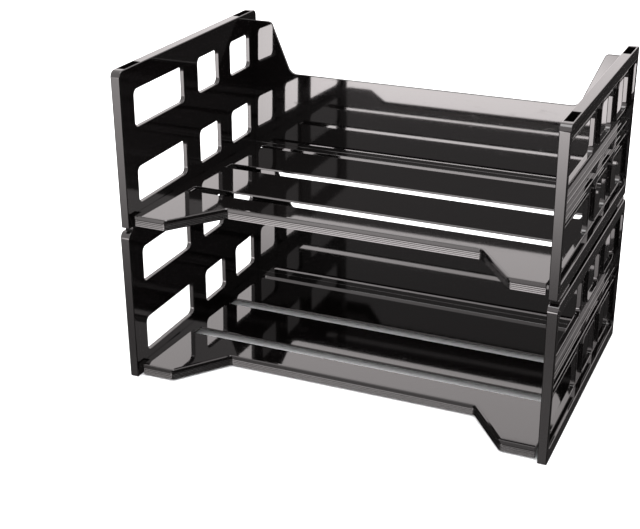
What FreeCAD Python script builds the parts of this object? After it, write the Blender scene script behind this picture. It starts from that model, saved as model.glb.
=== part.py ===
import FreeCAD, Part
import math
import os
import Sketcher
from FreeCAD import Vector

# Two stacking letter trays of moulded polystyrene, side-loading for letter paper.
# +X is the long side, -Y is the open front, +Z is up. The origin is the middle of the footprint,
# on the surface that the lower tray stands on. All sizes are in millimetres.

SIZES = [
    # the whole stack
    ("tray_width", 335.0),
    ("tray_depth", 223.0),
    ("tray_pitch", 125.0),
    ("panel_height", 121.5),
    # side panels: a thin plate inside a deep flange that runs all round its outside
    ("flange_depth", 7.8),
    ("plate_thick", 2.0),
    ("band_height", 10.0),
    ("post_width", 3.5),
    ("front_draft", 1.0),
    ("side_draft", 1.0),
    ("top_radius", 5.0),
    ("relief_radius", 4.0),
    ("edge_round", 0.6),
    # windows: three columns in two rows, each inside a raised rim
    ("window_a_front", -92.9),
    ("window_a_rear", -18.0),
    ("window_b_front", 4.8),
    ("window_b_rear", 40.8),
    ("window_c_front", 61.3),
    ("window_c_rear", 97.6),
    ("low_row_bottom", 15.0),
    ("low_row_top", 43.3),
    ("high_row_bottom", 74.5),
    ("high_row_top", 103.3),
    ("window_radius", 4.5),
    ("rim_width", 2.0),
    ("rim_height", 1.9),
    # two stiffening ribs between the rows, with small gussets
    ("rib_thick", 1.4),
    ("rib_height", 3.0),
    ("low_rib", 53.0),
    ("high_rib", 63.5),
    ("gusset_length", 20.0),
    ("gusset_drop", 7.0),
    # sockets in the top and bottom bands, and the pins that join the trays
    ("socket_setback", 8.0),
    ("socket_length", 23.0),
    ("socket_skin", 0.8),
    ("top_socket_width", 6.1),
    ("bottom_socket_width", 4.7),
    ("socket_deep", 8.5),
    ("pin_stub", 8.0),
    ("snug_gap", 0.05),
    ("loose_gap", 0.3),
    ("collar_margin", 1.2),
    # base: sloping slotted floor, stepped front lip and back wall with an ear at each end
    ("joint_gap", 0.1),
    ("floor_thick", 1.7),
    ("floor_front_height", 9.5),
    ("floor_rear_height", 4.6),
    ("lip_front", -106.5),
    ("lip_recess", -66.2),
    ("lip_reach", 157.0),
    ("lip_front_turn", 133.0),
    ("lip_recess_turn", 98.9),
    ("lip_front_radius", 4.0),
    ("lip_recess_radius", 3.0),
    ("lip_top", 9.8),
    ("lip_bottom", 1.2),
    ("lip_thick", 2.4),
    ("bead_height", 3.0),
    ("groove_height", 0.7),
    ("groove_deep", 0.8),
    ("face_head_setback", 0.6),
    ("face_foot_setback", 0.25),
    ("slot_a_front", 89.0),
    ("slot_b_front", 25.5),
    ("slot_c_front", -38.5),
    ("slot_a_width", 6.5),
    ("slot_width", 12.0),
    ("slot_reach", 149.0),
    ("slot_radius", 1.5),
    ("wall_foot", 104.0),
    ("wall_lean", 1.4),
    ("wall_thick", 2.0),
    ("wall_top", 69.4),
    ("wall_bottom", 0.4),
    ("ear_top", 113.0),
    ("ear_shoulder", 143.2),
    ("ear_foot", 124.7),
    ("ear_radius", 4.0),
    ("ear_foot_radius", 8.5),
    ("skirt_thick", 1.6),
    # tongues on the base that snap into mortises in the side panels
    ("tongue_reach", 3.0),
    ("tongue_length", 24.0),
    ("tongue_spacing", 55.0),
    ("ear_tongue_low", 60.0),
    ("ear_tongue_high", 84.0),
    ("ear_tongue_thick", 1.4),
    ("ear_tongue_reach", 1.2),
]


class Size:
    # A size known both as a number and as the formula that ties it to the sheet.
    def __init__(self, number, formula):
        self.number = number
        self.formula = formula

    def __add__(self, other):
        return combine(self, "+", other, self.number + number_of(other))

    def __sub__(self, other):
        return combine(self, "-", other, self.number - number_of(other))

    def __mul__(self, other):
        return combine(self, "*", other, self.number * number_of(other))

    def __truediv__(self, other):
        return combine(self, "/", other, self.number / number_of(other))

    def __neg__(self):
        return self * -1


def number_of(value):
    return value.number if isinstance(value, Size) else value


def formula_of(value):
    return value.formula if isinstance(value, Size) else "(%s)" % value


def combine(first, sign, second, number):
    return Size(number, "(%s %s %s)" % (first.formula, sign, formula_of(second)))


doc = FreeCAD.newDocument("LetterTray")
sheet = doc.addObject("Spreadsheet::Sheet", "Sizes")
size = {}
for row, (alias, number) in enumerate(SIZES, start=1):
    sheet.set("A%d" % row, alias)
    sheet.set("B%d" % row, "%g" % number)
    sheet.setAlias("B%d" % row, alias)
    size[alias] = Size(number, "Sizes.%s" % alias)
doc.recompute()

# Places worked out from the driving sizes.
half_width = size["tray_width"] / 2
half_depth = size["tray_depth"] / 2
inner_face = half_width - size["flange_depth"]
plate_face = inner_face + size["plate_thick"]
base_end = inner_face - size["joint_gap"]
floor_rear = size["wall_foot"] + size["wall_thick"] / 2
wall_slope = Size(math.tan(math.radians(size["wall_lean"].number)), "tan(Sizes.wall_lean * 1deg)")
tray_gap = size["tray_pitch"] - size["panel_height"]
floor_fall = (size["floor_front_height"] - size["floor_rear_height"]) / (floor_rear - size["lip_front"])
COLUMNS = [("window_a_front", "window_a_rear"), ("window_b_front", "window_b_rear"),
           ("window_c_front", "window_c_rear")]
ROWS = [("low_row_bottom", "low_row_top"), ("high_row_bottom", "high_row_top")]


def floor_height(place):
    # Height of the floor's top face at a distance along Y.
    return size["floor_front_height"] - floor_fall * (place - size["lip_front"])


def wall_place(height):
    # Distance along Y of the back wall's front face at a height above the tray's foot.
    return size["wall_foot"] + wall_slope * height


def bind(thing, name, value):
    # Gives a property a value and, where it comes from the sheet, its formula.
    if isinstance(value, Size):
        thing.setExpression(name, value.formula)
    else:
        thing.setExpression(name, "%s" % value)


def new_sketch(body, name, plane, offset):
    # An empty sketch, parallel to one of the body's origin planes and moved along its normal.
    sketch = body.newObject("Sketcher::SketchObject", name)
    for feature in body.Origin.OriginFeatures:
        if feature.Role == plane:
            sketch.AttachmentSupport = [(feature, "")]
    sketch.MapMode = "FlatFace"
    bind(sketch, "AttachmentOffset.Base.z", offset)
    return sketch


def lean_back(sketch):
    # Turns an upright sketch about its own X axis, so that its top leans back by the wall's lean.
    offset = sketch.AttachmentOffset
    sketch.AttachmentOffset = FreeCAD.Placement(offset.Base, FreeCAD.Rotation(Vector(1, 0, 0), -1))
    bind(sketch, "AttachmentOffset.Rotation.Angle", -size["wall_lean"])


def pin_point(sketch, kind, geometry, point, value):
    # Fixes one coordinate of a point of the sketch: kind is DistanceX or DistanceY.
    index = sketch.addConstraint(Sketcher.Constraint(kind, -1, 1, geometry, point, number_of(value)))
    bind(sketch, "Constraints[%d]" % index, value)


def fix_radius(sketch, geometry, value):
    index = sketch.addConstraint(Sketcher.Constraint("Radius", geometry, number_of(value)))
    bind(sketch, "Constraints[%d]" % index, value)


def add_outline(sketch, corners):
    # A closed outline of straight lines through corners, whose coordinates are sizes.
    first = sketch.GeometryCount
    points = [Vector(number_of(x), number_of(y), 0) for x, y in corners]
    for start, end in zip(points, points[1:] + points[:1]):
        sketch.addGeometry(Part.LineSegment(start, end))
    count = len(corners)
    for step in range(count):
        following = (step + 1) % count
        sketch.addConstraint(Sketcher.Constraint("Coincident", first + step, 2, first + following, 1))
    for step, (x, y) in enumerate(corners):
        pin_point(sketch, "DistanceX", first + step, 1, x)
        pin_point(sketch, "DistanceY", first + step, 1, y)


def add_rounded_rectangle(sketch, left, right, bottom, top, radius):
    # A rectangle with rounded corners: four sides and four quarter circles, each tangent to the next.
    first = sketch.GeometryCount
    x0, x1, y0, y1, r = [number_of(value) for value in (left, right, bottom, top, radius)]
    sides = [((x0 + r, y0), (x1 - r, y0)), ((x1, y0 + r), (x1, y1 - r)),
             ((x1 - r, y1), (x0 + r, y1)), ((x0, y1 - r), (x0, y0 + r))]
    centres = [(x1 - r, y0 + r), (x1 - r, y1 - r), (x0 + r, y1 - r), (x0 + r, y0 + r)]
    for quarter in range(4):
        start, end = [Vector(x, y, 0) for x, y in sides[quarter]]
        sketch.addGeometry(Part.LineSegment(start, end))
        circle = Part.Circle(Vector(centres[quarter][0], centres[quarter][1], 0), Vector(0, 0, 1), r)
        begin = math.radians(90 * (quarter - 1))
        sketch.addGeometry(Part.ArcOfCircle(circle, begin, begin + math.pi / 2))
    for step in range(8):
        following = (step + 1) % 8
        sketch.addConstraint(Sketcher.Constraint("Tangent", first + step, 2, first + following, 1))
    for quarter in range(4):
        kind = "Vertical" if quarter % 2 else "Horizontal"
        sketch.addConstraint(Sketcher.Constraint(kind, first + 2 * quarter))
        fix_radius(sketch, first + 2 * quarter + 1, radius)
    pin_point(sketch, "DistanceY", first, 1, bottom)
    pin_point(sketch, "DistanceX", first + 2, 1, right)
    pin_point(sketch, "DistanceY", first + 4, 1, top)
    pin_point(sketch, "DistanceX", first + 6, 1, left)


def pad(body, name, sketch, length, reverse=False, symmetric=False):
    feature = body.newObject("PartDesign::Pad", name)
    feature.Profile = sketch
    bind(feature, "Length", length)
    feature.Reversed = reverse
    if symmetric:
        feature.SideType = "Symmetric"
    sketch.Visibility = False
    return feature


def pocket(body, name, sketch, length=None, reverse=False, symmetric=False):
    # Cuts to a depth, or right through where no depth is given. It must take material away.
    doc.recompute()
    before = body.Shape.Volume
    feature = body.newObject("PartDesign::Pocket", name)
    feature.Profile = sketch
    if length is None:
        feature.Type = "ThroughAll"
    else:
        bind(feature, "Length", length)
    feature.Reversed = reverse
    if symmetric:
        feature.SideType = "Symmetric"
    sketch.Visibility = False
    doc.recompute()
    if not body.Shape.Volume < before - 1e-3:
        raise RuntimeError("%s of %s cuts nothing" % (name, body.Label))
    return feature


def round_edges(body, name, wanted, radius):
    # Rounds the edges of the body's present shape whose two end points both satisfy the test.
    doc.recompute()
    base = body.Tip
    names = []
    for number, edge in enumerate(base.Shape.Edges, start=1):
        if len(edge.Vertexes) == 2 and wanted(edge.Vertexes[0].Point, edge.Vertexes[1].Point):
            names.append("Edge%d" % number)
    if not names:
        raise RuntimeError("%s of %s finds no edge" % (name, body.Label))
    feature = body.newObject("PartDesign::Fillet", name)
    feature.Base = (base, names)
    bind(feature, "Radius", radius)
    return feature


def along(first, second, axis):
    # Whether the line between two points runs along one axis only.
    step = second - first
    others = [abs(step[other]) for other in range(3) if other != axis]
    return abs(step[axis]) > 1e-3 and max(others) < 1e-3


def through_wall(first, second):
    # Whether the line between two points goes straight through the leaning back wall.
    step = second - first
    return abs(step.x) < 1e-3 and abs(step.Length - size["wall_thick"].number) < 1e-3


def new_body(label):
    body = doc.addObject("PartDesign::Body", label)
    body.Label = label
    return body


def make_side(label, side, level):
    # One side panel; side is +1 for the right panel and -1 for the left one.
    body = new_body(label)
    mirrored = side < 0

    profile = new_sketch(body, label + "_profile", "YZ_Plane", inner_face * side)
    add_outline(profile, [(size["front_draft"] - half_depth, 0), (half_depth, 0),
                          (half_depth, size["panel_height"]), (-half_depth, size["panel_height"])])
    pad(body, label + "_block", profile, size["flange_depth"], reverse=mirrored)
    top = size["panel_height"].number
    round_edges(body, label + "_shoulders",
                lambda a, b: along(a, b, 0) and abs(a.z - top) < 1e-3, size["top_radius"])

    taper = new_sketch(body, label + "_taper", "XZ_Plane", 0)
    add_outline(taper, [(half_width * side, size["panel_height"]),
                        ((half_width - size["side_draft"]) * side, 0), ((half_width + 1) * side, 0),
                        ((half_width + 1) * side, size["panel_height"])])
    pocket(body, label + "_draft", taper, size["tray_depth"] + 2, symmetric=True)

    relief = new_sketch(body, label + "_recess", "YZ_Plane", half_width * side)
    add_rounded_rectangle(relief, size["front_draft"] + size["post_width"] - half_depth,
                          half_depth - size["post_width"], size["band_height"],
                          size["panel_height"] - size["band_height"], size["relief_radius"])
    pocket(body, label + "_relief", relief, half_width - plate_face, reverse=mirrored)

    rims = new_sketch(body, label + "_rim_outlines", "YZ_Plane", plate_face * side)
    windows = new_sketch(body, label + "_window_outlines", "YZ_Plane", half_width * side)
    for front, rear in COLUMNS:
        for bottom, high in ROWS:
            add_rounded_rectangle(windows, size[front], size[rear], size[bottom], size[high],
                                  size["window_radius"])
            add_rounded_rectangle(rims, size[front] - size["rim_width"], size[rear] + size["rim_width"],
                                  size[bottom] - size["rim_width"], size[high] + size["rim_width"],
                                  size["window_radius"] + size["rim_width"])
    pad(body, label + "_rims", rims, size["rim_height"], reverse=mirrored)
    pocket(body, label + "_windows", windows, reverse=mirrored)

    ribs = new_sketch(body, label + "_rib_outlines", "YZ_Plane", plate_face * side)
    columns_between = [(size["window_a_rear"] + size["window_b_front"]) / 2,
                       (size["window_b_rear"] + size["window_c_front"]) / 2]
    for height in (size["low_rib"], size["high_rib"]):
        under = height - size["rib_thick"]
        corners = [(size["front_draft"] + size["post_width"] - half_depth, height),
                   (size["front_draft"] + size["post_width"] - half_depth, under)]
        for centre in columns_between:
            corners.append((centre - size["gusset_length"] / 2, under))
            corners.append((centre, under - size["gusset_drop"]))
            corners.append((centre + size["gusset_length"] / 2, under))
        corners.append((half_depth - size["post_width"], under))
        corners.append((half_depth - size["post_width"], height))
        add_outline(ribs, corners)
    pad(body, label + "_ribs", ribs, size["rib_height"], reverse=mirrored)

    for name, width, plane_height, upwards in (
            ("top", size["top_socket_width"], size["panel_height"], False),
            ("bottom", size["bottom_socket_width"], 0, True)):
        sockets = new_sketch(body, label + "_" + name + "_socket_outlines", "XY_Plane", plane_height)
        near = (inner_face + size["socket_skin"]) * side
        far = (inner_face + size["socket_skin"] + width) * side
        left, right = (near, far) if side > 0 else (far, near)
        for end in (-1, 1):
            inner = (half_depth - size["socket_setback"] - size["socket_length"]) * end
            outer = (half_depth - size["socket_setback"]) * end
            bottom, high = (inner, outer) if end > 0 else (outer, inner)
            add_rounded_rectangle(sockets, left, right, bottom, high, size["edge_round"])
        pocket(body, label + "_" + name + "_sockets", sockets, size["socket_deep"], reverse=upwards)

    mortises = new_sketch(body, label + "_mortise_outlines", "YZ_Plane", inner_face * side)
    play = size["joint_gap"]
    for place in (-1, 0, 1):
        front = size["tongue_spacing"] * place - size["tongue_length"] / 2
        rear = size["tongue_spacing"] * place + size["tongue_length"] / 2
        low = floor_height(rear) - size["floor_thick"] - play
        high = floor_height(front) + play
        add_outline(mortises, [(front - play, low), (rear + play, low),
                               (rear + play, high), (front - play, high)])
    pocket(body, label + "_mortises", mortises, size["tongue_reach"] + play, reverse=not mirrored)
    ear_mortise = new_sketch(body, label + "_ear_mortise_outline", "YZ_Plane", inner_face * side)
    low, high = size["ear_tongue_low"] - play * 2, size["ear_tongue_high"] + play
    past = size["ear_tongue_thick"] + play
    add_outline(ear_mortise, [(wall_place(low) - play, low), (wall_place(low) + past, low),
                              (wall_place(high) + past, high), (wall_place(high) - play, high)])
    pocket(body, label + "_ear_mortise", ear_mortise, size["ear_tongue_reach"] + play,
           reverse=not mirrored)
    bind(body, "Placement.Base.z", level)
    return body


def lip_path(sketch):
    # The line that the lip follows: out to the front at both ends and back to a wide recess.
    front, recess = size["lip_front"].number, size["lip_recess"].number
    reach, out_turn, in_turn = [size[name].number for name in
                                ("lip_reach", "lip_front_turn", "lip_recess_turn")]
    out_radius, in_radius = size["lip_front_radius"].number, size["lip_recess_radius"].number
    # the straight flank touches both bends, so its slope follows from the distance of their centres
    across = out_turn - in_turn
    rise = recess - front - out_radius - in_radius
    reach_between = math.hypot(across, rise)
    lean = math.asin((out_radius + in_radius) / reach_between) + math.atan2(rise, across)
    for side in (-1, 1):
        out_centre = Vector(side * out_turn, front + out_radius, 0)
        in_centre = Vector(side * in_turn, recess - in_radius, 0)
        foot = out_centre + Vector(-side * math.sin(lean), -math.cos(lean), 0) * out_radius
        head = in_centre + Vector(side * math.sin(lean), math.cos(lean), 0) * in_radius
        end, turn = Vector(side * reach, front, 0), Vector(side * out_turn, front, 0)
        inside = Vector(side * in_turn, recess, 0)
        out_circle = Part.Circle(out_centre, Vector(0, 0, 1), out_radius)
        in_circle = Part.Circle(in_centre, Vector(0, 0, 1), in_radius)
        out_angles = sorted(math.atan2(p.y - out_centre.y, p.x - out_centre.x) for p in (turn, foot))
        in_angles = sorted(math.atan2(p.y - in_centre.y, p.x - in_centre.x) for p in (head, inside))
        sketch.addGeometry(Part.LineSegment(end, turn))
        sketch.addGeometry(Part.ArcOfCircle(out_circle, *out_angles))
        sketch.addGeometry(Part.LineSegment(foot, head))
        sketch.addGeometry(Part.ArcOfCircle(in_circle, *in_angles))
    sketch.addGeometry(Part.LineSegment(Vector(-in_turn, recess, 0), Vector(in_turn, recess, 0)))
    # left half is geometry 0 to 3, right half 4 to 7, and 8 is the recess line between them
    for first, out_ends, in_ends, centre_end in ((0, (1, 2), (2, 1), 1), (4, (2, 1), (1, 2), 2)):
        sketch.addConstraint(Sketcher.Constraint("Tangent", first, 2, first + 1, out_ends[0]))
        sketch.addConstraint(Sketcher.Constraint("Tangent", first + 1, out_ends[1], first + 2, 1))
        sketch.addConstraint(Sketcher.Constraint("Tangent", first + 2, 2, first + 3, in_ends[0]))
        sketch.addConstraint(Sketcher.Constraint("Tangent", first + 3, in_ends[1], 8, centre_end))
        sketch.addConstraint(Sketcher.Constraint("Horizontal", first))
        side = -1 if first == 0 else 1
        pin_point(sketch, "DistanceX", first, 1, size["lip_reach"] * side)
        pin_point(sketch, "DistanceY", first, 1, size["lip_front"])
        pin_point(sketch, "DistanceX", first, 2, size["lip_front_turn"] * side)
        pin_point(sketch, "DistanceX", 8, centre_end, size["lip_recess_turn"] * side)
        fix_radius(sketch, first + 1, size["lip_front_radius"])
        fix_radius(sketch, first + 3, size["lip_recess_radius"])
    sketch.addConstraint(Sketcher.Constraint("Horizontal", 8))
    pin_point(sketch, "DistanceY", 8, 1, size["lip_recess"])


def make_base(label, level):
    # Floor, front lip and back wall with its two ears, moulded in one.
    body = new_body(label)

    slope = new_sketch(body, label + "_slope", "YZ_Plane", 0)
    add_outline(slope, [(size["lip_front"], size["floor_front_height"]),
                        (size["lip_front"], size["floor_front_height"] - size["floor_thick"]),
                        (floor_rear, size["floor_rear_height"] - size["floor_thick"]),
                        (floor_rear, size["floor_rear_height"])])
    pad(body, label + "_floor", slope, (inner_face + size["tongue_reach"]) * 2, symmetric=True)

    # what is left outside the base's ends is only the tongues, and the front corners are notched
    trims = new_sketch(body, label + "_trim_outlines", "XY_Plane", 0)
    past_end = inner_face + size["tongue_reach"] + 1
    stations = [(-1, 0), (0, 1)]
    for side in (-1, 1):
        ends = [(size["lip_front"] - 1, -size["tongue_spacing"] - size["tongue_length"] / 2)]
        for before, after in stations:
            ends.append((size["tongue_spacing"] * before + size["tongue_length"] / 2,
                         size["tongue_spacing"] * after - size["tongue_length"] / 2))
        ends.append((size["tongue_spacing"] + size["tongue_length"] / 2, half_depth + 1))
        for front, rear in ends:
            add_outline(trims, [(base_end * side, front), (past_end * side, front),
                                (past_end * side, rear), (base_end * side, rear)])
    pocket(body, label + "_tongues", trims, size["lip_top"] + 2, reverse=True)

    # the floor stops at the lip
    opening = new_sketch(body, label + "_mouth", "XY_Plane", 0)
    lip_centre = size["lip_thick"] / 2
    near = size["lip_front"] - 1
    foot, recess_end = size["lip_front_turn"] - 1.4, size["lip_recess_turn"] + 2.1
    add_outline(opening, [(-foot, near), (foot, near), (foot, size["lip_front"] + lip_centre),
                          (recess_end, size["lip_recess"] + lip_centre),
                          (-recess_end, size["lip_recess"] + lip_centre),
                          (-foot, size["lip_front"] + lip_centre)])
    pocket(body, label + "_recess", opening, size["lip_top"] + 2, reverse=True)
    notches = new_sketch(body, label + "_notch_outlines", "XY_Plane", 0)
    for side in (-1, 1):
        add_outline(notches, [(size["lip_reach"] * side, near), ((base_end + 1) * side, near),
                              ((base_end + 1) * side, size["lip_front"] + 10),
                              (size["lip_reach"] * side, size["lip_front"] + 10)])
    pocket(body, label + "_notches", notches, size["lip_top"] + 2, reverse=True)

    path = new_sketch(body, label + "_lip_path", "XY_Plane", 0)
    lip_path(path)
    section = new_sketch(body, label + "_lip_section", "YZ_Plane", -size["lip_reach"])
    face_head = size["lip_front"] + size["face_head_setback"]
    face_foot = size["lip_front"] + size["face_foot_setback"]
    groove = size["lip_front"] + size["groove_deep"]
    bead_under = size["lip_top"] - size["bead_height"]
    groove_under = bead_under - size["groove_height"]
    back = size["lip_front"] + size["lip_thick"]
    chamfer = size["edge_round"]
    add_outline(section, [(back, size["lip_bottom"]), (back, size["lip_top"]),
                          (size["lip_front"] + chamfer, size["lip_top"]),
                          (size["lip_front"], size["lip_top"] - chamfer),
                          (size["lip_front"], bead_under), (groove, bead_under), (groove, groove_under),
                          (face_head, groove_under), (face_foot, size["lip_bottom"])])
    lip = body.newObject("PartDesign::AdditivePipe", label + "_lip")
    lip.Profile = section
    lip.Spine = (path, [])
    path.Visibility = False
    section.Visibility = False

    outline = new_sketch(body, label + "_wall_outline", "XZ_Plane", -size["wall_foot"])
    lean_back(outline)
    ear = [(base_end, size["wall_bottom"]), (base_end, size["ear_top"]),
           (size["ear_shoulder"], size["ear_top"]), (size["ear_foot"], size["wall_top"])]
    add_outline(outline, ear + [(-x, z) for x, z in reversed(ear)])
    pad(body, label + "_wall", outline, size["wall_thick"], reverse=True)
    shoulder, foot_x = size["ear_shoulder"].number, size["ear_foot"].number
    round_edges(body, label + "_ear_rounds",
                lambda a, b: through_wall(a, b) and abs(abs(a.x) - shoulder) < 1e-3, size["ear_radius"])
    round_edges(body, label + "_ear_feet",
                lambda a, b: through_wall(a, b) and abs(abs(a.x) - foot_x) < 1e-3,
                size["ear_foot_radius"])

    skirt = new_sketch(body, label + "_skirt_outline", "YZ_Plane", 0)
    skirt_front = size["slot_a_front"] + size["slot_a_width"]
    skirt_rear = skirt_front + size["skirt_thick"]
    add_outline(skirt, [(skirt_front, size["wall_bottom"]), (skirt_rear, size["wall_bottom"]),
                        (skirt_rear, floor_height(skirt_rear)), (skirt_front, floor_height(skirt_front))])
    pad(body, label + "_skirt", skirt, size["slot_reach"] * 2, symmetric=True)

    ear_tongues = new_sketch(body, label + "_ear_tongue_outlines", "XZ_Plane", -size["wall_foot"])
    lean_back(ear_tongues)
    for side in (-1, 1):
        add_outline(ear_tongues, [((base_end - 1) * side, size["ear_tongue_low"]),
                                  ((inner_face + size["ear_tongue_reach"]) * side,
                                   size["ear_tongue_low"]),
                                  ((inner_face + size["ear_tongue_reach"]) * side,
                                   size["ear_tongue_high"]),
                                  ((base_end - 1) * side, size["ear_tongue_high"])])
    pad(body, label + "_ear_tongues", ear_tongues, size["ear_tongue_thick"], reverse=True)

    slots = new_sketch(body, label + "_slot_outlines", "XY_Plane", 0)
    for front, width in (("slot_a_front", "slot_a_width"), ("slot_b_front", "slot_width"),
                         ("slot_c_front", "slot_width")):
        add_rounded_rectangle(slots, -size["slot_reach"], size["slot_reach"], size[front],
                              size[front] + size[width], size["slot_radius"])
    pocket(body, label + "_slots", slots, size["lip_top"], reverse=True)
    bind(body, "Placement.Base.z", level)
    return body


def make_pin(label, side, end):
    # A pin that joins the trays: a stub in each tray's socket and a collar that keeps them apart.
    body = new_body(label)
    near = inner_face + size["socket_skin"]
    low_far = near + size["top_socket_width"]
    high_far = near + size["bottom_socket_width"]
    start = half_depth - size["socket_setback"] - size["socket_length"]
    finish = half_depth - size["socket_setback"]
    snug, loose, margin = size["snug_gap"], size["loose_gap"], size["collar_margin"]
    steps = [("stub", near + snug, low_far - snug, start + snug, finish - snug,
              size["panel_height"] - size["pin_stub"], size["pin_stub"]),
             ("collar", near - size["edge_round"], low_far + size["edge_round"] / 2, start - margin,
              finish + margin, size["panel_height"], tray_gap - snug),
             ("peg", near + loose, high_far - loose, start + loose, finish - loose,
              size["tray_pitch"] - snug, size["pin_stub"] - loose)]
    for name, x0, x1, y0, y1, base_height, length in steps:
        sketch = new_sketch(body, label + "_" + name + "_outline", "XY_Plane", base_height)
        left, right = (x0, x1) if side > 0 else (-x1, -x0)
        bottom, high = (y0, y1) if end > 0 else (-y1, -y0)
        add_rounded_rectangle(sketch, left, right, bottom, high, size["edge_round"])
        pad(body, label + "_" + name, sketch, length)
    return body


pieces = []
for tray, level in (("lower", 0), ("upper", size["tray_pitch"])):
    pieces.append(make_base(tray + "_base", level))
    pieces.append(make_side(tray + "_left_side", -1, level))
    pieces.append(make_side(tray + "_right_side", 1, level))
for end_name, end in (("front", -1), ("rear", 1)):
    for side_name, side in (("left", -1), ("right", 1)):
        pieces.append(make_pin("stacking_pin_%s_%s" % (end_name, side_name), side, end))

doc.recompute()
for thing in doc.Objects:
    if "Invalid" in thing.State or "Error" in thing.State:
        raise RuntimeError("%s did not compute: %s" % (thing.Label, thing.State))
for body in pieces:
    if body.Shape.isNull() or not body.Shape.isValid() or len(body.Shape.Solids) != 1:
        raise RuntimeError("%s is not one valid solid" % body.Label)

os.makedirs("parts", exist_ok=True)
for body in pieces:
    body.Shape.exportStep(os.path.join("parts", body.Label + ".step"))
    box = body.Shape.BoundBox
    print("%-26s %8.1f mm3  x %.1f..%.1f  y %.1f..%.1f  z %.1f..%.1f" % (
        body.Label, body.Shape.Volume, box.XMin, box.XMax, box.YMin, box.YMax, box.ZMin, box.ZMax))
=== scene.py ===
import math

import bmesh
import bpy
from mathutils import Matrix, Vector


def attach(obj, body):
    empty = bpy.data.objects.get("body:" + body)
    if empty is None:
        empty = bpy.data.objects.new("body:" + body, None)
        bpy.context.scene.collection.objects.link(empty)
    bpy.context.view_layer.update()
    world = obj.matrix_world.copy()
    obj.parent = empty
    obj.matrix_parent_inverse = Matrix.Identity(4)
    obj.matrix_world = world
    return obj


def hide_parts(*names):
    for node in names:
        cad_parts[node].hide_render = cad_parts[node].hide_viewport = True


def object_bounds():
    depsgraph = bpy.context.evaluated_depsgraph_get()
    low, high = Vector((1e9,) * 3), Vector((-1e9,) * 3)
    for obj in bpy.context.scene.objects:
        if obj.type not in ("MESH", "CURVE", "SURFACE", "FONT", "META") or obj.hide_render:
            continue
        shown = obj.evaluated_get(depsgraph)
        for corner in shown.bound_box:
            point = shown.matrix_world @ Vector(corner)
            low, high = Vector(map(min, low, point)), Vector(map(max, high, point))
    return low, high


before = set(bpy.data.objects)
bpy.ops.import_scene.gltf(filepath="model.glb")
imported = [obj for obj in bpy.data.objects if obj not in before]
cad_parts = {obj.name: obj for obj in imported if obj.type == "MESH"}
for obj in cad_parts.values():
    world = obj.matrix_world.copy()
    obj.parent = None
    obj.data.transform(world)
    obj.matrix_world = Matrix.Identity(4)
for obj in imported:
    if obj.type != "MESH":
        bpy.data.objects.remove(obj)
cadLow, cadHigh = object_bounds()
mm = 0.001
print("frame loaded:", len(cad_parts), "nodes")


def toLinear(hexColour):
    # sRGB hex to the linear values that the shaders take
    values = [int(hexColour[place:place + 2], 16) / 255 for place in (1, 3, 5)]
    return [v / 12.92 if v <= 0.04045 else ((v + 0.055) / 1.055) ** 2.4 for v in values] + [1.0]


def addNode(tree, kind, settings=None, inputs=None, links=None):
    # one node: its settings, the values of its sockets, and the sockets that other nodes feed
    node = tree.nodes.new(kind)
    for name, value in (settings or {}).items():
        setattr(node, name, value)
    for name, value in (inputs or {}).items():
        node.inputs[name].default_value = value
    for name, source in (links or {}).items():
        tree.links.new(source, node.inputs[name])
    return node


# camera, about a metre off, above the stack and to the right of its open front

view = {
    "place": (334.3 * mm, -887.3 * mm, 492.2 * mm),
    "turnLeft": 23.67,      # degrees from +Y towards -X
    "lookDown": 21.88,      # degrees below the horizon
    "roll": -0.25,          # degrees
    "lens": 73.6,           # mm
    "sensor": 36,           # mm, wide
    "shiftX": 0.005,
    "shiftY": -0.06,
    "farthest": 50,         # m
}


def makeCamera(v):
    turn, down, roll = [math.radians(v[name]) for name in ("turnLeft", "lookDown", "roll")]
    ahead = Vector((-math.sin(turn) * math.cos(down), math.cos(turn) * math.cos(down), -math.sin(down)))
    right = Vector((math.cos(turn), math.sin(turn), 0))
    up = right.cross(ahead)
    right, up = (right * math.cos(roll) + up * math.sin(roll), up * math.cos(roll) - right * math.sin(roll))
    data = bpy.data.cameras.new("viewCamera")
    data.sensor_width = v["sensor"]
    data.lens = v["lens"]
    data.shift_x, data.shift_y = v["shiftX"], v["shiftY"]
    data.clip_end = v["farthest"]
    camera = bpy.data.objects.new("viewCamera", data)
    camera.matrix_world = Matrix((right, up, -ahead)).transposed().to_4x4()
    camera.location = v["place"]
    bpy.context.scene.collection.objects.link(camera)
    bpy.context.scene.camera = camera


makeCamera(view)
print("camera placed")

# studio: a pale floor under a soft white surround. Mirrors see a soft sky over a dark ground, with
# a low softbox at the front left, which keeps black plastic black between its highlights

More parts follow.
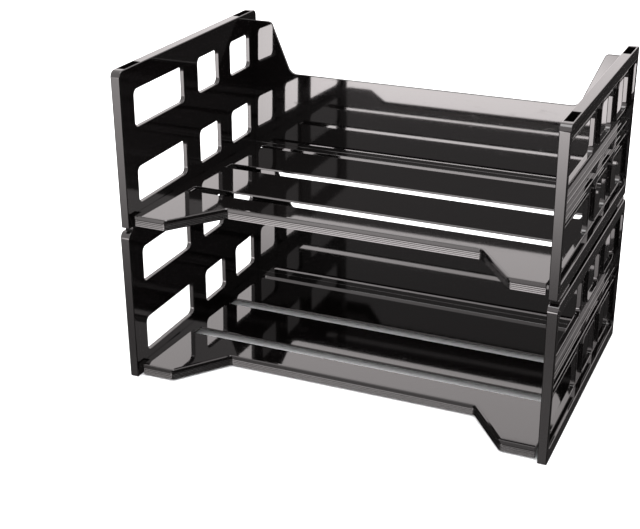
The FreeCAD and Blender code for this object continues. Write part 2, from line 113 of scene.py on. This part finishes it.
studio = {
    "floorSize": 12.0,      # m
    "floorDrop": 0.0002,    # m, from the stack's foot to the paper
    "floorColour": "#f4f4f5",
    "floorRoughness": 0.85,
    "grain": {"Scale": 900.0, "Detail": 3.0},      # about 1.1 mm from tooth to tooth
    "grainBump": {"Strength": 0.05, "Distance": 0.0001},
    "surroundColour": "#ffffff",
    "surroundStrength": 2.2,
    "mirroredColour": "#fff8f8",
    "mirroredSky": 2.0,
    "mirroredGround": 0.05,
    # the rest are parts of a unit vector that points from the stack to the surround
    "horizon": (-0.02, 0.06),        # heights where the ground ends and the sky begins
    "lowLightTop": (-0.12, 0.05),    # heights where the softbox and the rear glow fade out
    "softboxFoot": (-0.46, 0.8),     # a height, and how bright the softbox is there
    "softboxHead": (-0.18, 13.0),
    "softboxDepth": (0.35, 0.75, 0.955, 0.98),     # to the front: fades in, full, still full, gone
    "softboxSide": (-0.66, -0.34, -0.14, -0.04),   # to the right: the same four
    # faint panels low behind the stack, so that its back and sides don't mirror plain black
    "rearGlow": 1.0,
    "rearGlowDepth": (0.0, 0.2),     # to the back: fades in, full
    "rearGlowFoot": (-0.5, 0.35),    # a height, and the share of the glow there
    "rearGlowHead": (-0.1, 1.0),
    "rearGlowSpans": [(-0.5, -0.35, 0.02, 0.14), (0.6, 0.7, 2.0, 2.1)],
    "lamps": [               # m and W
        {"name": "overheadSoftbox", "place": (0.0, -0.2, 1.9), "aim": (0, 0, 0.12), "size": (1.6, 1.2),
         "power": 30},
    ],
}


def makeStudio(s):
    half, ground = s["floorSize"] / 2, cadLow.z - s["floorDrop"]
    mesh = bpy.data.meshes.new("studioFloor")
    mesh.from_pydata([(-half, -half, ground), (half, -half, ground), (half, half, ground),
                      (-half, half, ground)], [], [(0, 1, 2, 3)])
    floor = bpy.data.objects.new("studioFloor", mesh)
    floor.visible_glossy = False
    bpy.context.scene.collection.objects.link(floor)
    paper = bpy.data.materials.new("seamlessPaper")
    paper.use_nodes = True
    tree = paper.node_tree
    tree.nodes.clear()
    coords = addNode(tree, "ShaderNodeTexCoord")
    grain = addNode(tree, "ShaderNodeTexNoise", inputs=s["grain"],
                    links={"Vector": coords.outputs["Object"]})
    bump = addNode(tree, "ShaderNodeBump", inputs=s["grainBump"], links={"Height": grain.outputs["Fac"]})
    skin = addNode(tree, "ShaderNodeBsdfPrincipled",
                   inputs={"Base Color": toLinear(s["floorColour"]), "Roughness": s["floorRoughness"]},
                   links={"Normal": bump.outputs["Normal"]})
    addNode(tree, "ShaderNodeOutputMaterial", links={"Surface": skin.outputs["BSDF"]})
    mesh.materials.append(paper)

    world = bpy.data.worlds.new("studioSurround")
    bpy.context.scene.world = world
    world.use_nodes = True
    tree = world.node_tree
    tree.nodes.clear()

    def spread(value, low, high, start, end):
        # a soft step: start up to low, end from high on
        return addNode(tree, "ShaderNodeMapRange", {"interpolation_type": "SMOOTHSTEP"},
                       {"From Min": low, "From Max": high, "To Min": start, "To Max": end},
                       {"Value": value}).outputs["Result"]

    def combine(kind, one, other):
        node = addNode(tree, "ShaderNodeMath", {"operation": kind}, None, {0: one, 1: other})
        return node.outputs["Value"]

    def across(start, full, dimming, end):
        # 1 over a span to the left or right, 0 outside it
        return combine("MULTIPLY", spread(way["X"], start, full, 0.0, 1.0),
                       spread(way["X"], dimming, end, 1.0, 0.0))

    way = addNode(tree, "ShaderNodeSeparateXYZ",
                  links={"Vector": addNode(tree, "ShaderNodeTexCoord").outputs["Generated"]}).outputs
    sky = spread(way["Z"], *s["horizon"], s["mirroredGround"], s["mirroredSky"])
    (foot, dim), (head, bright) = s["softboxFoot"], s["softboxHead"]
    softbox = spread(way["Z"], foot, head, dim, bright)
    near, full, dimming, end = s["softboxDepth"]
    ahead = combine("MULTIPLY", spread(way["Y"], -full, -near, 1.0, 0.0),
                    spread(way["Y"], -end, -dimming, 0.0, 1.0))
    ahead = combine("MULTIPLY", ahead, across(*s["softboxSide"]))
    under = spread(way["Z"], *s["lowLightTop"], 1.0, 0.0)
    mirrored = combine("ADD", sky, combine("MULTIPLY", softbox, combine("MULTIPLY", ahead, under)))
    (foot, dim), (head, bright) = s["rearGlowFoot"], s["rearGlowHead"]
    behind = combine("MULTIPLY", spread(way["Y"], *s["rearGlowDepth"], 0.0, s["rearGlow"]),
                     combine("MULTIPLY", under, spread(way["Z"], foot, head, dim, bright)))
    for span in s["rearGlowSpans"]:
        mirrored = combine("ADD", mirrored, combine("MULTIPLY", behind, across(*span)))
    seen = addNode(tree, "ShaderNodeBackground", inputs={"Color": toLinear(s["surroundColour"]),
                                                         "Strength": s["surroundStrength"]})
    inMirrors = addNode(tree, "ShaderNodeBackground", inputs={"Color": toLinear(s["mirroredColour"])},
                        links={"Strength": mirrored})
    rays = addNode(tree, "ShaderNodeLightPath").outputs
    either = addNode(tree, "ShaderNodeMixShader", links={0: rays["Is Glossy Ray"], 1: seen.outputs[0],
                                                        2: inMirrors.outputs[0]})
    addNode(tree, "ShaderNodeOutputWorld", links={"Surface": either.outputs["Shader"]})

    for lamp in s["lamps"]:
        data = bpy.data.lights.new(lamp["name"], "AREA")
        data.shape = "RECTANGLE"
        data.size, data.size_y = lamp["size"]
        data.energy = lamp["power"]
        thing = bpy.data.objects.new(lamp["name"], data)
        thing.location = lamp["place"]
        aim = Vector(lamp["aim"]) - Vector(lamp["place"])
        thing.rotation_euler = aim.to_track_quat("-Z", "Y").to_euler()
        thing.visible_camera = False
        bpy.context.scene.collection.objects.link(thing)
    bpy.context.scene.view_settings.view_transform = "Standard"


makeStudio(studio)
print("studio lit")

# high-impact polystyrene, injection moulded in a polished tool: black right through, with a
# mirror gloss, a faint waviness where it flowed and cooled, and a few hairline scuffs

trayPlastic = {
    "name": "highImpactPolystyrene",
    "colour": "#060505",
    "wornColour": "#0d0c0c",
    "roughness": 0.045,
    "scuffedRoughness": 0.16,
    "refraction": 1.59,
    "flowWave": 38.0,        # mm from one soft swell to the next
    "flowDepth": 0.0022,     # mm
    "scuffLength": 16.0,     # mm
    "scuffTurn": (0.3, 0.2, 0.5),      # radians about each axis
    "scuffStretch": (1.0, 9.0, 4.0),   # how many times finer the pattern is along each axis
    "scuffDetail": {"Detail": 6.0, "Roughness": 0.65},
    "scuffed": (0.60, 0.78),           # noise where the scuffs begin and where they are full
    "dustSize": 1.2,         # mm
    "dustDetail": 2.0,
    "dusty": (0.55, 0.95),             # noise where the dust begins and where it is full
    "dustCover": 0.8,                  # share of the worn colour under full dust
}

# acetal, injection moulded: a little greyer and duller than the trays, with a finer ripple

pinPlastic = dict(trayPlastic, name="acetalPin", colour="#080707", roughness=0.14, flowWave=9.0,
                  flowDepth=0.0015, scuffLength=5.0)


def mouldedPlastic(p):
    material = bpy.data.materials.new(p["name"])
    material.use_nodes = True
    tree = material.node_tree
    tree.nodes.clear()
    coords = addNode(tree, "ShaderNodeTexCoord").outputs["Object"]
    flow = addNode(tree, "ShaderNodeTexNoise", inputs={"Scale": 1 / (p["flowWave"] * mm), "Detail": 1.0},
                   links={"Vector": coords})
    stretched = addNode(tree, "ShaderNodeMapping",
                        inputs={"Scale": p["scuffStretch"], "Rotation": p["scuffTurn"]},
                        links={"Vector": coords})
    scuffs = addNode(tree, "ShaderNodeTexNoise",
                     inputs={"Scale": 1 / (p["scuffLength"] * mm), **p["scuffDetail"]},
                     links={"Vector": stretched.outputs["Vector"]})
    begins, full = p["scuffed"]
    scuffMask = addNode(tree, "ShaderNodeMapRange",
                        inputs={"From Min": begins, "From Max": full, "To Min": p["roughness"],
                                "To Max": p["scuffedRoughness"]},
                        links={"Value": scuffs.outputs["Fac"]})
    dust = addNode(tree, "ShaderNodeTexNoise",
                   inputs={"Scale": 1 / (p["dustSize"] * mm), "Detail": p["dustDetail"]},
                   links={"Vector": coords})
    begins, full = p["dusty"]
    dustMask = addNode(tree, "ShaderNodeMapRange", inputs={"From Min": begins, "From Max": full,
                                                          "To Min": 0.0, "To Max": p["dustCover"]},
                       links={"Value": dust.outputs["Fac"]})
    colour = addNode(tree, "ShaderNodeMix", settings={"data_type": "RGBA"},
                     links={"Factor": dustMask.outputs["Result"]})
    colour.inputs["A"].default_value = toLinear(p["colour"])
    colour.inputs["B"].default_value = toLinear(p["wornColour"])
    bump = addNode(tree, "ShaderNodeBump", inputs={"Strength": 1.0, "Distance": p["flowDepth"] * mm},
                   links={"Height": flow.outputs["Fac"]})
    skin = addNode(tree, "ShaderNodeBsdfPrincipled", inputs={"IOR": p["refraction"]},
                   links={"Base Color": colour.outputs["Result"], "Roughness": scuffMask.outputs["Result"],
                          "Normal": bump.outputs["Normal"]})
    addNode(tree, "ShaderNodeOutputMaterial", links={"Surface": skin.outputs["BSDF"]})
    return material


blackGloss = mouldedPlastic(trayPlastic)
pinGloss = mouldedPlastic(pinPlastic)
print("materials made")

# mouldings: each keeps its CAD outline and gets the rounded edges that a polished tool leaves

stackPitch = 125.0           # mm, from one tray to the next

rounding = {
    "weldGap": 0.002,        # mm, closes the seams between the CAD triangles
    "flatAngle": 0.4,        # degrees, faces this close to level become one
    "bendAngle": 24.0,       # degrees, edges sharper than this are seen as corners
    "sharpAngle": 50.0,      # degrees, corners sharper than this are rounded
    "widest": 0.7,           # mm
    "segments": 3,           # of each rounded edge
    "flatWeight": 100,       # a flat face keeps its own normal, and the rounded edge takes the turn
}

# share of the widest rounding that an edge has room for. Places are in mm, and heights start at
# the tray's foot

sideEdges = {
    "innerFace": 163.5,      # mortises open inside this
    "lowMortises": (1, 11, 70),            # bottom, top, and how far to the front and back
    "highMortises": (58, 86, 102, 108.5),  # bottom, top, front, back
    "mortiseShare": 0.15,
    "sockets": (160, 167, 79, 105),        # inner, outer, nearest and farthest from the middle
    "socketHeights": (9, 112),             # they lie below the first and above the second
    "socketShare": 0.35,
    "share": 0.8,
}


def sideRounding(x, y, z):
    e = sideEdges
    x, reach = abs(x), abs(y)
    foot, top, far = e["lowMortises"]
    mortise = foot < z < top and reach < far
    foot, top, front, back = e["highMortises"]
    mortise = mortise or foot < z < top and front < y < back
    if x < e["innerFace"] and mortise:
        return e["mortiseShare"]
    inner, outer, near, far = e["sockets"]
    low, high = e["socketHeights"]
    if inner < x < outer and near < reach < far and not low < z < high:
        return e["socketShare"]
    return e["share"]


baseEdges = {
    "endFace": 159.5,        # tongues, and the ends that meet the side panels, lie past this
    "endShare": 0.15,
    "lip": (-60, 10.5),      # in front of the first and below the second
    "lipShare": 0.3,
    "floorTop": 9.6,
    "floorShare": 0.5,
    "share": 0.8,
}


def baseRounding(x, y, z):
    e = baseEdges
    behind, above = e["lip"]
    if abs(x) > e["endFace"]:
        return e["endShare"]
    if y < behind and z < above:
        return e["lipShare"]
    return e["floorShare"] if z < e["floorTop"] else e["share"]


pinEdges = {"share": 0.4}


def pinRounding(x, y, z):
    return pinEdges["share"]


def roundedMoulding(nodeName, body, r, edgeRounding, material):
    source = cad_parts[nodeName]
    level = stackPitch if nodeName.startswith("upper") else 0.0
    work = bmesh.new()
    work.from_mesh(source.data)
    bmesh.ops.remove_doubles(work, verts=work.verts, dist=r["weldGap"] * mm)
    bmesh.ops.dissolve_limit(work, angle_limit=math.radians(r["flatAngle"]), verts=work.verts,
                             edges=work.edges)
    weights = work.edges.layers.float.new("bevel_weight_edge")
    for edge in work.edges:
        turn = math.degrees(edge.calc_face_angle(0)) if len(edge.link_faces) == 2 else 0
        if turn > r["sharpAngle"]:
            place = (edge.verts[0].co + edge.verts[1].co) / 2 / mm
            edge[weights] = edgeRounding(place.x, place.y, place.z - level)
        elif turn > r["bendAngle"]:
            edge.smooth = False
    mesh = bpy.data.meshes.new(nodeName + "_moulding")
    work.to_mesh(mesh)
    work.free()
    piece = bpy.data.objects.new(nodeName + "_moulding", mesh)
    bpy.context.scene.collection.objects.link(piece)
    mesh.materials.append(material)
    bevel = piece.modifiers.new("edgeRounding", "BEVEL")
    bevel.limit_method = "WEIGHT"
    bevel.width = r["widest"] * mm
    bevel.segments = r["segments"]
    bevel.use_clamp_overlap = False
    flats = piece.modifiers.new("flatFaces", "WEIGHTED_NORMAL")
    flats.mode = "FACE_AREA"
    flats.weight = r["flatWeight"]
    flats.keep_sharp = True
    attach(piece, body)
    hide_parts(nodeName)


for tray in ("lower", "upper"):
    roundedMoulding(tray + "_base", tray + "_tray", rounding, baseRounding, blackGloss)
    for side in ("_left_side", "_right_side"):
        roundedMoulding(tray + side, tray + "_tray", rounding, sideRounding, blackGloss)
for name in [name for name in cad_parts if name.startswith("stacking_pin")]:
    roundedMoulding(name, "lower_tray", rounding, pinRounding, pinGloss)
print("mouldings rounded")

# fine raised lines that run along the face of each front lip, under its bead

lipLines = {
    "count": 3,
    "spacing": 1.3,          # mm
    "radius": 0.26,          # mm, so about half of each line stands clear of the face
    "highest": 5.0,          # mm above the tray's foot
    "reach": 156.6,          # mm, from the middle to each end
    "front": -106.2,         # mm, the face at the two ends
    "recess": -65.9,         # mm, the face in the recess
    "frontCorner": 131.0,    # mm from the middle, where the end and the flank would meet unbent
    "recessCorner": 100.4,   # and the flank and the recess
    "frontBend": 3.7,        # mm, radii of the bends
    "recessBend": 3.3,
    "bendSteps": 7,
    "sides": 8,              # of each line, all round
}


def lipPath(p):
    # points from the left end to the right end, with the two bends of each side drawn as arcs
    def bend(before, corner, after, radius):
        back, on = (before - corner).normalized(), (after - corner).normalized()
        half = back.angle(on) / 2
        inward = (back + on).normalized()
        centre = corner + inward * radius / math.sin(half)
        first, last = [corner + way * radius / math.tan(half) - centre for way in (back, on)]
        sweep = first.angle_signed(last)
        turns = [step / p["bendSteps"] for step in range(p["bendSteps"] + 1)]
        spins = [Matrix.Rotation(-sweep * share, 2) for share in turns]
        return [centre + spin @ first for spin in spins]

    end, frontTurn = Vector((p["reach"], p["front"])), Vector((p["frontCorner"], p["front"]))
    recessTurn, middle = Vector((p["recessCorner"], p["recess"])), Vector((0, p["recess"]))
    right = [*bend(middle, recessTurn, frontTurn, p["recessBend"]),
             *bend(recessTurn, frontTurn, end, p["frontBend"]), end]
    left = [Vector((-point.x, point.y)) for point in reversed(right)]
    return left + right


def lipLinesTree():
    tree = bpy.data.node_groups.new("lipLines", "GeometryNodeTree")
    sockets = {}
    for name, kind in (("Geometry", "NodeSocketGeometry"), ("Count", "NodeSocketInt"),
                       ("Spacing", "NodeSocketFloat"), ("Radius", "NodeSocketFloat"),
                       ("Sides", "NodeSocketInt"), ("Material", "NodeSocketMaterial")):
        sockets[name] = tree.interface.new_socket(name, in_out="INPUT", socket_type=kind).identifier
    tree.interface.new_socket("Geometry", in_out="OUTPUT", socket_type="NodeSocketGeometry")
    given = addNode(tree, "NodeGroupInput").outputs
    path = addNode(tree, "GeometryNodeMeshToCurve", links={"Mesh": given["Geometry"]})
    ring = addNode(tree, "GeometryNodeCurvePrimitiveCircle",
                   links={"Radius": given["Radius"], "Resolution": given["Sides"]})
    line = addNode(tree, "GeometryNodeCurveToMesh", inputs={"Fill Caps": True},
                   links={"Curve": path.outputs["Curve"], "Profile Curve": ring.outputs["Curve"]})
    step = addNode(tree, "ShaderNodeCombineXYZ")
    down = addNode(tree, "ShaderNodeMath", {"operation": "MULTIPLY"}, {1: -1.0}, {0: given["Spacing"]})
    tree.links.new(down.outputs["Value"], step.inputs["Z"])
    rows = addNode(tree, "GeometryNodeMeshLine",
                   links={"Count": given["Count"], "Offset": step.outputs["Vector"]})
    placed = addNode(tree, "GeometryNodeInstanceOnPoints",
                     links={"Points": rows.outputs["Mesh"], "Instance": line.outputs["Mesh"]})
    whole = addNode(tree, "GeometryNodeRealizeInstances", links={"Geometry": placed.outputs["Instances"]})
    soft = addNode(tree, "GeometryNodeSetShadeSmooth", links={"Geometry": whole.outputs["Geometry"]})
    painted = addNode(tree, "GeometryNodeSetMaterial",
                      links={"Geometry": soft.outputs["Geometry"], "Material": given["Material"]})
    addNode(tree, "NodeGroupOutput", links={"Geometry": painted.outputs["Geometry"]})
    return tree, sockets


def makeLipLines(p, tree, sockets, body, level):
    name = body.replace("_tray", "_lip_lines")
    points = lipPath(p)
    guide = bpy.data.meshes.new(name + "_path")
    guide.from_pydata([(v.x * mm, v.y * mm, (level + p["highest"]) * mm) for v in points],
                      [(n, n + 1) for n in range(len(points) - 1)], [])
    maker = bpy.data.objects.new(name + "_path", guide)
    bpy.context.scene.collection.objects.link(maker)
    nodes = maker.modifiers.new("lipLines", "NODES")
    nodes.node_group = tree
    nodes[sockets["Count"]] = p["count"]
    nodes[sockets["Spacing"]] = p["spacing"] * mm
    nodes[sockets["Radius"]] = p["radius"] * mm
    nodes[sockets["Sides"]] = p["sides"]
    nodes[sockets["Material"]] = blackGloss
    made = maker.evaluated_get(bpy.context.evaluated_depsgraph_get())
    mesh = bpy.data.meshes.new_from_object(made)
    mesh.name = name
    bpy.data.objects.remove(maker)
    piece = bpy.data.objects.new(name, mesh)
    bpy.context.scene.collection.objects.link(piece)
    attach(piece, body)


linesTree, linesSockets = lipLinesTree()
for body, level in (("lower_tray", 0.0), ("upper_tray", stackPitch)):
    makeLipLines(lipLines, linesTree, linesSockets, body, level)
print("lip lines run")
